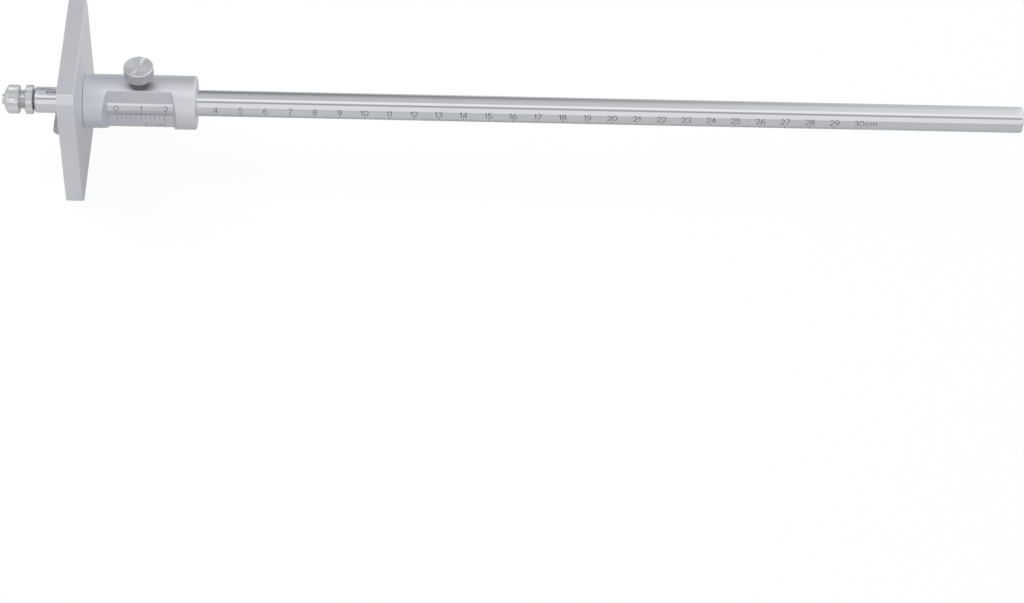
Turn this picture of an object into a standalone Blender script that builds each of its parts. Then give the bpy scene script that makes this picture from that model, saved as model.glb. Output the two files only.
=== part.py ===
"""Marking rule: a round rod with a scale, a scriber pin at its left end, and a fence that slides on it.

Metres, +Z up. +X runs along the rod to its plain end, and +Z points to the knob of the lock screw.
The origin is the middle of the fence plate's underside, on which the tool stands.
"""
import bmesh
import bpy
from math import cos, pi, radians, sin, sqrt, tan
from mathutils import Vector

# Rod
ROD_LENGTH = 0.400
ROD_DIAMETER = 0.0106
ROD_LEFT_CHAMFER = 0.0009
ROD_END_ROUND = 0.0011
SCALE_ZERO_FROM_ROD_END = 0.0334

# Fence plate
PLATE_SIDE = 0.0600
PLATE_THICKNESS = 0.0070
PLATE_CORNER_CUT = 0.00275
PLATE_EDGE_ROUND = 0.0004
VERNIER_ZERO_FROM_WORKING_FACE = 0.0200

# Sleeve with its vernier window
SLEEVE_DIAMETER = 0.0218
SLEEVE_LENGTH = 0.0452
SLEEVE_END_ROUND = 0.0009
SLEEVE_MOUTH_CHAMFER = 0.0005
SPIGOT_DIAMETER = 0.0160
WINDOW_LENGTH = 0.0260
WINDOW_FLAT_FROM_AXIS = 0.0043
WINDOW_END_FLARE = radians(17.0)

# Lock screw and its pad
LOCK_THREAD_DIAMETER = 0.0050
LOCK_HEAD_DIAMETER = 0.0120
LOCK_HEAD_HEIGHT = 0.0052
LOCK_HEAD_CHAMFER = 0.0005
LOCK_HEAD_LOWER_CHAMFER = 0.0003
LOCK_HEAD_DISH = 0.0003
LOCK_COLLAR_DIAMETER = 0.0078
LOCK_COLLAR_HEIGHT = 0.0036
LOCK_DOG_DIAMETER = 0.0030
LOCK_DOG_LENGTH = 0.0008
PAD_THICKNESS = 0.0020
PAD_EDGE_CHAMFER = 0.0003

# Scriber pin
SCRIBER_DIAMETER = 0.0040
SCRIBER_REACH = 0.0181
SCRIBER_BACK_RECESS = 0.0008
SCRIBER_END_SLANT = radians(13.0)
SCRIBER_EDGE_CHAMFER = 0.0003

# Clamp spindle, its knob and its lock nut
SPINDLE_THREAD_DIAMETER = 0.0078
SPINDLE_DEPTH_IN_ROD = 0.0040
SPINDLE_END_CHAMFER = 0.0005
SPINDLE_NECK_LENGTH = 0.0020
SPINDLE_SPIGOT_DIAMETER = 0.0042
SPINDLE_SPIGOT_STAND_OUT = 0.0011
KNOB_DIAMETER = 0.0117
KNOB_GRIP_LENGTH = 0.0045
KNOB_CONE_LENGTH = 0.0017
KNOB_CONE_END_DIAMETER = 0.0064
KNOB_EDGE_CHAMFER = 0.0005
NUT_DIAMETER = 0.0118
NUT_LENGTH = 0.0034
NUT_BEVEL_LENGTH = 0.0005
NUT_BEVEL_END_DIAMETER = 0.0094
NUT_EDGE_CHAMFER = 0.0003

# Thrust pin between the spindle and the scriber, and the set screw that guides it
THRUST_DIAMETER = 0.0060
THRUST_HORN_LENGTH = 0.0009
THRUST_EDGE_CHAMFER = 0.0003
THRUST_KEYWAY_DEPTH = 0.0014
SET_SCREW_DIAMETER = 0.0036
SET_SCREW_FROM_SCRIBER = 0.0040
SET_SCREW_DOG_DIAMETER = 0.0020
SET_SCREW_SLOT_WIDTH = 0.0006
SET_SCREW_SLOT_DEPTH = 0.0005
POCKET_LENGTH = 0.0070
POCKET_WIDTH = 0.0046
POCKET_DEPTH = 0.0010

# Knurls
KNURL_PITCH = 0.00080
KNURL_DEPTH = 0.00025

# Fits and cuts
GAP = 0.0003
OVERRUN = 0.0020
MERGE_SHARE_OF_GAP = 0.01

# Facets of round pieces
ROD_FACETS = 56
SLEEVE_FACETS = 72
SMALL_FACETS = 32
ROUND_STEPS = 3
SMOOTH_ANGLE = radians(32.0)

# Places worked out from the sizes
ROD_RADIUS = ROD_DIAMETER / 2
AXIS_HEIGHT = PLATE_SIDE / 2
WORKING_FACE_X = -PLATE_THICKNESS / 2
SLEEVE_X = PLATE_THICKNESS / 2 + GAP
SLEEVE_END_X = WORKING_FACE_X + PLATE_THICKNESS + SLEEVE_LENGTH
SCALE_ZERO_X = WORKING_FACE_X + VERNIER_ZERO_FROM_WORKING_FACE
ROD_LEFT_X = SCALE_ZERO_X - SCALE_ZERO_FROM_ROD_END
LOCK_X = (PLATE_THICKNESS / 2 + SLEEVE_END_X) / 2
LOCK_COLLAR_BOTTOM = SLEEVE_DIAMETER / 2 + GAP
LOCK_UNDERSIDE = LOCK_COLLAR_BOTTOM + LOCK_COLLAR_HEIGHT
LOCK_TOP = LOCK_UNDERSIDE + LOCK_HEAD_HEIGHT
SCRIBER_X = WORKING_FACE_X - GAP - SCRIBER_DIAMETER / 2
SET_SCREW_X = SCRIBER_X - SET_SCREW_FROM_SCRIBER
NUT_RIGHT_X = ROD_LEFT_X - GAP
NUT_LEFT_X = NUT_RIGHT_X - NUT_LENGTH
KNOB_RIGHT_X = NUT_LEFT_X - SPINDLE_NECK_LENGTH
ROD_BORE_RADIUS = ROD_RADIUS + GAP
THREAD_BORE_RADIUS = SPINDLE_THREAD_DIAMETER / 2 + GAP
THRUST_BORE_RADIUS = THRUST_DIAMETER / 2 + GAP

# Directions of a turned piece's own +Z
ALONG_X = (0, pi / 2, 0)
ALONG_MINUS_X = (0, -pi / 2, 0)
ALONG_MINUS_Y = (pi / 2, 0, 0)
ALONG_Z = (0, 0, 0)


def on_axis(x, height=0):
    """Return the point at x on the rod's axis, or height above it."""
    return Vector((x, 0, AXIS_HEIGHT + height))


def metal(name, colour, roughness):
    """Return a metal material."""
    material = bpy.data.materials.new(name)
    material.use_nodes = True
    shader = material.node_tree.nodes["Principled BSDF"]
    shader.inputs["Base Color"].default_value = (*colour, 1)
    shader.inputs["Metallic"].default_value = 1
    shader.inputs["Roughness"].default_value = roughness
    return material


def finish(bm, name, location, rotation, material=None):
    """Turn a bmesh into a smooth-shaded object at its place."""
    bmesh.ops.remove_doubles(bm, verts=bm.verts, dist=GAP * MERGE_SHARE_OF_GAP)
    bmesh.ops.recalc_face_normals(bm, faces=bm.faces)
    mesh = bpy.data.meshes.new(name)
    bm.to_mesh(mesh)
    bm.free()
    mesh.shade_smooth()
    mesh.set_sharp_from_angle(angle=SMOOTH_ANGLE)
    piece = bpy.data.objects.new(name, mesh)
    piece.location = location
    piece.rotation_euler = rotation
    if material:
        mesh.materials.append(material)
    bpy.context.scene.collection.objects.link(piece)
    return piece


def spun(profile, facets, closed=False):
    """Spin a profile of (radius, height) points once round +Z."""
    bm = bmesh.new()
    points = [bm.verts.new((radius, 0, height)) for radius, height in profile]
    for first, second in zip(points, points[1:]):
        bm.edges.new((first, second))
    if closed:
        bm.edges.new((points[-1], points[0]))
    bmesh.ops.spin(bm, geom=bm.verts[:] + bm.edges[:], cent=(0, 0, 0), axis=(0, 0, 1), angle=2 * pi,
                   steps=facets, use_merge=True)
    return bm


def knurled(stations, diameter, bored):
    """Skin rings round +Z, each given as (radius, height, knurl depth).

    A bored piece joins its last ring to its first, and a solid one is capped at both.
    """
    teeth = round(pi * diameter / KNURL_PITCH)
    count = 2 * teeth
    bm = bmesh.new()
    rings = []
    for radius, height, depth in stations:
        ring = []
        for step in range(count):
            reach = radius - depth * (step % 2)
            angle = pi * step / teeth
            ring.append(bm.verts.new((reach * cos(angle), reach * sin(angle), height)))
        rings.append(ring)
    pairs = list(zip(rings, rings[1:]))
    if bored:
        pairs.append((rings[-1], rings[0]))
    else:
        bm.faces.new(rings[0])
        bm.faces.new(rings[-1])
    for first, second in pairs:
        for step in range(count):
            bm.faces.new((first[step - 1], first[step], second[step], second[step - 1]))
    return bm


def rounded_corner(radius, height, size):
    """Return the points of a quarter round that ends a turned outline, from the wall to the end face."""
    points = []
    for step in range(ROUND_STEPS + 1):
        angle = pi / 2 * step / ROUND_STEPS
        points.append((radius - size + size * cos(angle), height - size + size * sin(angle)))
    return points


def cutter(bm, name, location, rotation):
    """Turn a bmesh into a cutting tool, which isn't part of the object."""
    tool = finish(bm, name, location, rotation)
    tool.hide_render = True
    tool.display_type = "WIRE"
    return tool


def round_cutter(name, radius, length, location, rotation, facets=SMALL_FACETS):
    """Return a cylinder that starts at its location and runs along its own +Z."""
    profile = [(0, 0), (radius, 0), (radius, length), (0, length)]
    return cutter(spun(profile, facets), name, location, rotation)


def cut(piece, tool):
    """Take the tool's shape out of the piece."""
    modifier = piece.modifiers.new(tool.name, "BOOLEAN")
    modifier.operation = "DIFFERENCE"
    modifier.solver = "EXACT"
    modifier.object = tool


def bar(length, width, height):
    """Return a box about its own middle."""
    bm = bmesh.new()
    bmesh.ops.create_cube(bm, size=1)
    bmesh.ops.scale(bm, vec=(length, width, height), verts=bm.verts)
    return bm


def prism(outline, bottom, height):
    """Raise an outline of (x, y) points from a bottom by a height."""
    bm = bmesh.new()
    face = bm.faces.new([bm.verts.new((x, y, bottom)) for x, y in outline])
    walls = bmesh.ops.extrude_face_region(bm, geom=[face])
    raised = [item for item in walls["geom"] if isinstance(item, bmesh.types.BMVert)]
    bmesh.ops.translate(bm, vec=(0, 0, height), verts=raised)
    return bm


def make_pocket():
    """Return the tool that mills the pocket with round ends, in which the set screw sits."""
    radius = POCKET_WIDTH / 2
    steps = SMALL_FACETS // 2
    outline = []
    for centre, start in ((POCKET_LENGTH - POCKET_WIDTH, -pi / 2), (0, pi / 2)):
        for step in range(steps + 1):
            angle = start + pi * step / steps
            outline.append((centre + radius * cos(angle), radius * sin(angle)))
    bm = prism(outline, ROD_RADIUS - POCKET_DEPTH, POCKET_DEPTH + OVERRUN)
    return cutter(bm, "screw_pocket", on_axis(SET_SCREW_X), ALONG_Z)


def make_rod(material):
    """Return the rod, bored from its left end for the spindle and the thrust pin."""
    scriber_depth = SCRIBER_X - ROD_LEFT_X
    profile = [
        (0, scriber_depth),
        (THRUST_BORE_RADIUS, scriber_depth),
        (THRUST_BORE_RADIUS, SPINDLE_DEPTH_IN_ROD + GAP / 2),
        (THREAD_BORE_RADIUS, SPINDLE_DEPTH_IN_ROD + GAP / 2),
        (THREAD_BORE_RADIUS, 0),
        (ROD_RADIUS - ROD_LEFT_CHAMFER, 0),
        (ROD_RADIUS, ROD_LEFT_CHAMFER),
    ]
    profile += rounded_corner(ROD_RADIUS, ROD_LENGTH, ROD_END_ROUND)
    profile.append((0, ROD_LENGTH))
    rod = finish(spun(profile, ROD_FACETS), "beam_rod", on_axis(ROD_LEFT_X), ALONG_X, material)
    start = on_axis(SCRIBER_X) + Vector((0, ROD_RADIUS + OVERRUN, 0))
    hole = SCRIBER_DIAMETER / 2 + GAP
    cut(rod, round_cutter("scriber_hole", hole, 2 * (ROD_RADIUS + OVERRUN), start, ALONG_MINUS_Y))
    screw_hole = SET_SCREW_DIAMETER / 2 + GAP
    cut(rod, round_cutter("set_screw_hole", screw_hole, ROD_RADIUS + OVERRUN, on_axis(SET_SCREW_X), ALONG_Z))
    cut(rod, make_pocket())
    return rod


def make_scriber(material):
    """Return the pin, its end ground back from the edge beside the fence."""
    radius = SCRIBER_DIAMETER / 2
    length = ROD_RADIUS - SCRIBER_BACK_RECESS + SCRIBER_REACH
    profile = [
        (0, 0),
        (radius - SCRIBER_EDGE_CHAMFER, 0),
        (radius, SCRIBER_EDGE_CHAMFER),
        (radius, length + OVERRUN),
        (0, length + OVERRUN),
    ]
    bm = spun(profile, SMALL_FACETS)
    bmesh.ops.remove_doubles(bm, verts=bm.verts, dist=GAP * MERGE_SHARE_OF_GAP)
    bmesh.ops.bisect_plane(
        bm,
        geom=bm.verts[:] + bm.edges[:] + bm.faces[:],
        plane_co=(radius, 0, length),
        plane_no=(-sin(SCRIBER_END_SLANT), 0, cos(SCRIBER_END_SLANT)),
        clear_outer=True,
    )
    rim = [edge for edge in bm.edges if edge.is_boundary]
    bmesh.ops.edgeloop_fill(bm, edges=rim)
    start = on_axis(SCRIBER_X) + Vector((0, ROD_RADIUS - SCRIBER_BACK_RECESS, 0))
    return finish(bm, "scriber_pin", start, ALONG_MINUS_Y, material)


def make_thrust_pin(material):
    """Return the pin that passes the spindle's push on to the scriber."""
    radius = THRUST_DIAMETER / 2
    left = ROD_LEFT_X + SPINDLE_DEPTH_IN_ROD + GAP
    seat = SCRIBER_DIAMETER / 2 + GAP
    length = SCRIBER_X - seat + THRUST_HORN_LENGTH - left
    profile = [
        (0, 0),
        (radius - THRUST_EDGE_CHAMFER, 0),
        (radius, THRUST_EDGE_CHAMFER),
        (radius, length),
        (0, length),
    ]
    pin = finish(spun(profile, SMALL_FACETS), "thrust_pin", on_axis(left), ALONG_X, material)
    start = on_axis(SCRIBER_X) + Vector((0, radius + OVERRUN, 0))
    cut(pin, round_cutter("thrust_seat", seat, 2 * (radius + OVERRUN), start, ALONG_MINUS_Y))
    depth = THRUST_KEYWAY_DEPTH + OVERRUN
    key = bar(length + 2 * OVERRUN, SET_SCREW_DOG_DIAMETER + 2 * GAP, depth)
    centre = on_axis(left + length / 2, radius - THRUST_KEYWAY_DEPTH + depth / 2)
    cut(pin, cutter(key, "thrust_keyway", centre, ALONG_Z))
    return pin


def make_set_screw(material):
    """Return the set screw in the rod's top, whose dog runs in the thrust pin's keyway."""
    radius = SET_SCREW_DIAMETER / 2
    dog = SET_SCREW_DOG_DIAMETER / 2
    dog_end = THRUST_DIAMETER / 2 - THRUST_KEYWAY_DEPTH + GAP
    top = ROD_RADIUS - POCKET_DEPTH
    profile = [(0, dog_end), (dog, dog_end), (dog, THRUST_BORE_RADIUS), (radius, THRUST_BORE_RADIUS),
               (radius, top), (0, top)]
    screw = finish(spun(profile, SMALL_FACETS), "set_screw", on_axis(SET_SCREW_X), ALONG_Z, material)
    depth = SET_SCREW_SLOT_DEPTH + OVERRUN
    slot = bar(2 * (radius + OVERRUN), SET_SCREW_SLOT_WIDTH, depth)
    middle = on_axis(SET_SCREW_X, top - SET_SCREW_SLOT_DEPTH + depth / 2)
    cut(screw, cutter(slot, "set_screw_slot", middle, ALONG_Z))
    return screw


def make_spindle(material):
    """Return the threaded spindle, with the spigot that is riveted through the knob."""
    radius = SPINDLE_THREAD_DIAMETER / 2
    spigot = SPINDLE_SPIGOT_DIAMETER / 2
    shank = ROD_LEFT_X + SPINDLE_DEPTH_IN_ROD - KNOB_RIGHT_X - GAP
    length = shank + GAP + KNOB_GRIP_LENGTH + KNOB_CONE_LENGTH + SPINDLE_SPIGOT_STAND_OUT
    profile = [
        (0, 0),
        (radius - SPINDLE_END_CHAMFER, 0),
        (radius, SPINDLE_END_CHAMFER),
        (radius, shank),
        (spigot, shank),
        (spigot, length),
        (0, length),
    ]
    start = on_axis(ROD_LEFT_X + SPINDLE_DEPTH_IN_ROD)
    return finish(spun(profile, SMALL_FACETS), "clamp_spindle", start, ALONG_MINUS_X, material)


def make_knob(material):
    """Return the knurled knob on the spindle, coned at its outer end."""
    radius = KNOB_DIAMETER / 2
    bore = SPINDLE_SPIGOT_DIAMETER / 2 + GAP
    length = KNOB_GRIP_LENGTH + KNOB_CONE_LENGTH
    stations = [
        (bore, 0, 0),
        (radius - KNOB_EDGE_CHAMFER, 0, 0),
        (radius, KNOB_EDGE_CHAMFER, KNURL_DEPTH),
        (radius, KNOB_GRIP_LENGTH, KNURL_DEPTH),
        (KNOB_CONE_END_DIAMETER / 2, length, 0),
        (bore, length, 0),
    ]
    bm = knurled(stations, KNOB_DIAMETER, bored=True)
    return finish(bm, "clamp_knob", on_axis(KNOB_RIGHT_X), ALONG_MINUS_X, material)


def make_nut(material):
    """Return the knurled nut that locks the spindle against the rod's end."""
    radius = NUT_DIAMETER / 2
    stations = [
        (THREAD_BORE_RADIUS, 0, 0),
        (radius - NUT_EDGE_CHAMFER, 0, 0),
        (radius, NUT_EDGE_CHAMFER, KNURL_DEPTH),
        (radius, NUT_LENGTH - NUT_BEVEL_LENGTH, KNURL_DEPTH),
        (NUT_BEVEL_END_DIAMETER / 2, NUT_LENGTH, 0),
        (THREAD_BORE_RADIUS, NUT_LENGTH, 0),
    ]
    bm = knurled(stations, NUT_DIAMETER, bored=True)
    return finish(bm, "lock_nut", on_axis(NUT_RIGHT_X), ALONG_MINUS_X, material)


def make_plate(material):
    """Return the fence plate, bored for the sleeve's spigot."""
    bm = bar(PLATE_THICKNESS, PLATE_SIDE, PLATE_SIDE)
    corners = [edge for edge in bm.edges if edge.verts[0].co.yz == edge.verts[1].co.yz]
    bmesh.ops.bevel(bm, geom=corners, offset=PLATE_CORNER_CUT, segments=1, profile=0.5, affect="EDGES",
                    material=-1)
    bmesh.ops.bevel(bm, geom=bm.edges[:], offset=PLATE_EDGE_ROUND, segments=2, profile=0.5,
                    affect="EDGES", material=-1)
    plate = finish(bm, "fence_plate", on_axis(0), ALONG_Z, material)
    start = on_axis(WORKING_FACE_X - OVERRUN)
    bore = SPIGOT_DIAMETER / 2 + GAP
    cut(plate, round_cutter("plate_bore", bore, PLATE_THICKNESS + 2 * OVERRUN, start, ALONG_X, SLEEVE_FACETS))
    return plate


def make_window():
    """Return the tool that mills the window: a flat beside the rod between two flared walls."""
    half = WINDOW_LENGTH / 2
    front = SLEEVE_DIAMETER / 2 + OVERRUN
    flare = (front - WINDOW_FLAT_FROM_AXIS) * tan(WINDOW_END_FLARE)
    outline = [
        (-half, -WINDOW_FLAT_FROM_AXIS),
        (-half - flare, -front),
        (half + flare, -front),
        (half, -WINDOW_FLAT_FROM_AXIS),
    ]
    return cutter(prism(outline, -front, 2 * front), "vernier_window", on_axis(LOCK_X), ALONG_Z)


def make_sleeve(material):
    """Return the sleeve that guides the fence on the rod, with its spigot in the plate."""
    radius = SLEEVE_DIAMETER / 2
    spigot = SPIGOT_DIAMETER / 2
    shoulder = SLEEVE_X - WORKING_FACE_X
    length = SLEEVE_END_X - WORKING_FACE_X
    profile = [
        (ROD_BORE_RADIUS, 0),
        (spigot, 0),
        (spigot, shoulder),
        (radius, shoulder),
    ]
    profile += rounded_corner(radius, length, SLEEVE_END_ROUND)
    profile += [
        (ROD_BORE_RADIUS + SLEEVE_MOUTH_CHAMFER, length),
        (ROD_BORE_RADIUS, length - SLEEVE_MOUTH_CHAMFER),
    ]
    bm = spun(profile, SLEEVE_FACETS, closed=True)
    sleeve = finish(bm, "head_sleeve", on_axis(WORKING_FACE_X), ALONG_X, material)
    cut(sleeve, make_window())
    hole = LOCK_THREAD_DIAMETER / 2 + GAP
    cut(sleeve, round_cutter("lock_screw_hole", hole, radius + OVERRUN, on_axis(LOCK_X), ALONG_Z))
    return sleeve


def make_pad(material):
    """Return the pad under the lock screw, hollowed underneath to sit on the rod."""
    radius = LOCK_THREAD_DIAMETER / 2
    pocket = LOCK_DOG_DIAMETER / 2 + GAP
    base = sqrt(ROD_RADIUS ** 2 - radius ** 2)
    top = ROD_BORE_RADIUS + PAD_THICKNESS
    profile = [
        (0, base),
        (radius, base),
        (radius, top - PAD_EDGE_CHAMFER),
        (radius - PAD_EDGE_CHAMFER, top),
        (pocket, top),
        (pocket, top - LOCK_DOG_LENGTH),
        (0, top - LOCK_DOG_LENGTH),
    ]
    pad = finish(spun(profile, SMALL_FACETS), "pressure_pad", on_axis(LOCK_X), ALONG_Z, material)
    start = on_axis(LOCK_X - radius - OVERRUN)
    cut(pad, round_cutter("pad_saddle", ROD_BORE_RADIUS, 2 * (radius + OVERRUN), start, ALONG_X, ROD_FACETS))
    return pad


def make_lock_screw(material):
    """Return the knurled lock screw, with its collar, shank and dog point."""
    head = LOCK_HEAD_DIAMETER / 2
    collar = LOCK_COLLAR_DIAMETER / 2
    shank = LOCK_THREAD_DIAMETER / 2
    dog = LOCK_DOG_DIAMETER / 2
    shank_end = ROD_BORE_RADIUS + PAD_THICKNESS + GAP
    dish = head - 2 * LOCK_HEAD_CHAMFER
    stations = [
        (dog, shank_end - LOCK_DOG_LENGTH, 0),
        (dog, shank_end, 0),
        (shank, shank_end, 0),
        (shank, LOCK_COLLAR_BOTTOM, 0),
        (collar, LOCK_COLLAR_BOTTOM, 0),
        (collar, LOCK_UNDERSIDE, 0),
        (head - LOCK_HEAD_LOWER_CHAMFER, LOCK_UNDERSIDE, 0),
        (head, LOCK_UNDERSIDE + LOCK_HEAD_LOWER_CHAMFER, KNURL_DEPTH),
        (head, LOCK_TOP - LOCK_HEAD_CHAMFER, KNURL_DEPTH),
        (head - LOCK_HEAD_CHAMFER, LOCK_TOP, 0),
        (dish, LOCK_TOP, 0),
        (dish - LOCK_HEAD_DISH, LOCK_TOP - LOCK_HEAD_DISH, 0),
    ]
    bm = knurled(stations, LOCK_HEAD_DIAMETER, bored=False)
    return finish(bm, "lock_screw", on_axis(LOCK_X), ALONG_Z, material)


def main():
    """Clear the scene and build every piece."""
    for old in list(bpy.data.objects):
        bpy.data.objects.remove(old)
    polished = metal("polished_chrome", (0.78, 0.78, 0.80), 0.12)
    satin = metal("satin_chrome", (0.66, 0.66, 0.69), 0.35)
    turned = metal("turned_steel", (0.70, 0.70, 0.72), 0.28)
    hardened = metal("hardened_steel", (0.42, 0.41, 0.41), 0.30)
    blackened = metal("blackened_steel", (0.10, 0.10, 0.11), 0.45)
    brass = metal("brass", (0.78, 0.60, 0.30), 0.30)
    make_rod(polished)
    make_scriber(hardened)
    make_thrust_pin(brass)
    make_set_screw(blackened)
    make_spindle(turned)
    make_knob(turned)
    make_nut(turned)
    make_plate(satin)
    make_sleeve(satin)
    make_pad(brass)
    make_lock_screw(turned)


main()
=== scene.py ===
"""Looks of the marking rule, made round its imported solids.

Metres, in the frame of the solids: the rod lies along X, the lock screw stands up along +Z, the vernier
window and the scriber face -Y, and the fence plate stands on z = 0.
"""
import logging
from collections.abc import Callable, Sequence
from dataclasses import dataclass, field
from enum import Enum
from math import acos, atan2, ceil, cos, hypot, pi, radians, sin, sqrt, tan

import bmesh
import bpy
from mathutils import Euler, Matrix, Vector


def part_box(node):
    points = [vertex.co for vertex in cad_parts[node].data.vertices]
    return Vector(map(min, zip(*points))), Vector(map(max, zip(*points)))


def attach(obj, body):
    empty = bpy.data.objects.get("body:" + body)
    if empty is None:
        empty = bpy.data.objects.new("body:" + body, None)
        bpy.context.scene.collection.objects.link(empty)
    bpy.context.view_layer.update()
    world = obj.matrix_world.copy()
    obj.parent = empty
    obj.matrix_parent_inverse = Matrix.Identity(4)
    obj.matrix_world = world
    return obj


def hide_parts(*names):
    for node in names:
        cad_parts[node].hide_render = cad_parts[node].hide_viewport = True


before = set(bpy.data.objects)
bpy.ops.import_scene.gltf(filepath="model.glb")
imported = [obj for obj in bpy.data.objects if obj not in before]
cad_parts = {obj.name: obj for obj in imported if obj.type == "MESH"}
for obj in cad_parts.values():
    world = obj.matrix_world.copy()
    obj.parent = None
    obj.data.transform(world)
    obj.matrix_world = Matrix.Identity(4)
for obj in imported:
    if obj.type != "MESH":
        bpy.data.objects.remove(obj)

log = logging.getLogger("marking_rule")

Point = tuple[float, float]
Station = tuple[float, float]

FULL_TURN = 2 * pi
HAIR = 0.000001
SMOOTH_UP_TO = radians(28.0)
SHARP_FROM = radians(25.0)
EASE_STEPS = 3
EASE_REACH = 0.45
ROUND_STEPS = 8
POINTS_PER_TOOTH = 4
LETTER_GAP = 0.22
MILLIMETRE = 0.001


class Body(Enum):
    """The rigid bodies of the frame that pieces ride on."""

    BEAM = "beam"
    SCRIBER = "scriber"
    THRUST = "thrust"
    CLAMP = "clamp"
    LOCK_NUT = "lock_nut"
    HEAD = "head"
    PAD = "pad"
    LOCK_SCREW = "lock_screw"


class Slot(Enum):
    """The record's material slots."""

    POLISHED = "polished_chrome"
    SATIN = "satin_chrome"
    TURNED = "turned_steel"
    HARDENED = "hardened_steel"
    BLACKENED = "blackened_steel"
    BRASS = "brass"


class Facing(Enum):
    """Where a turned piece's own +Z ends up, as Euler angles."""

    RIGHT = (0.0, pi / 2, 0.0)
    LEFT = (0.0, -pi / 2, 0.0)
    FRONT = (pi / 2, 0.0, 0.0)
    UP = (0.0, 0.0, 0.0)


class Rays(Enum):
    """The kinds of ray that a studio panel may be hidden from."""

    CAMERA = "visible_camera"
    DIFFUSE = "visible_diffuse"
    SHADOW = "visible_shadow"


class Value:
    """A number in a shader, which Python's operators extend with Math nodes."""

    def __init__(self, graph: "Graph", source: bpy.types.NodeSocket) -> None:
        """Wrap an output socket of a graph."""
        self.graph = graph
        self.source = source

    def _math(self, operation: str, first: object, second: object = 0.0) -> "Value":
        """Return what a Math node makes of one or two values."""
        return self.graph.value("ShaderNodeMath", "Value", {"operation": operation},
                                {0: first, 1: second})

    def __add__(self, other: object) -> "Value":
        """Return self + other."""
        return self._math("ADD", self, other)

    def __radd__(self, other: object) -> "Value":
        """Return other + self."""
        return self._math("ADD", other, self)

    def __sub__(self, other: object) -> "Value":
        """Return self - other."""
        return self._math("SUBTRACT", self, other)

    def __rsub__(self, other: object) -> "Value":
        """Return other - self."""
        return self._math("SUBTRACT", other, self)

    def __mul__(self, other: object) -> "Value":
        """Return self * other."""
        return self._math("MULTIPLY", self, other)

    def __rmul__(self, other: object) -> "Value":
        """Return other * self."""
        return self._math("MULTIPLY", other, self)

    def __truediv__(self, other: object) -> "Value":
        """Return self / other."""
        return self._math("DIVIDE", self, other)

    def __rtruediv__(self, other: object) -> "Value":
        """Return other / self."""
        return self._math("DIVIDE", other, self)

    def __neg__(self) -> "Value":
        """Return 0 - self."""
        return self._math("SUBTRACT", 0.0, self)

    def larger(self, other: object) -> "Value":
        """Return the larger of self and other."""
        return self._math("MAXIMUM", self, other)

    def bearing(self, other: object) -> "Value":
        """Return the angle whose tangent is self over other."""
        return self._math("ARCTAN2", self, other)

    def rooted(self) -> "Value":
        """Return the square root of self."""
        return self._math("SQRT", self)

    def smooth(self, start: float, end: float) -> "Value":
        """Return a smooth step from 0 to 1 as self goes from start to end."""
        return self.graph.value("ShaderNodeMapRange", "Result", {"interpolation_type": "SMOOTHSTEP"},
                                {"Value": self, "From Min": start, "From Max": end})


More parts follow.
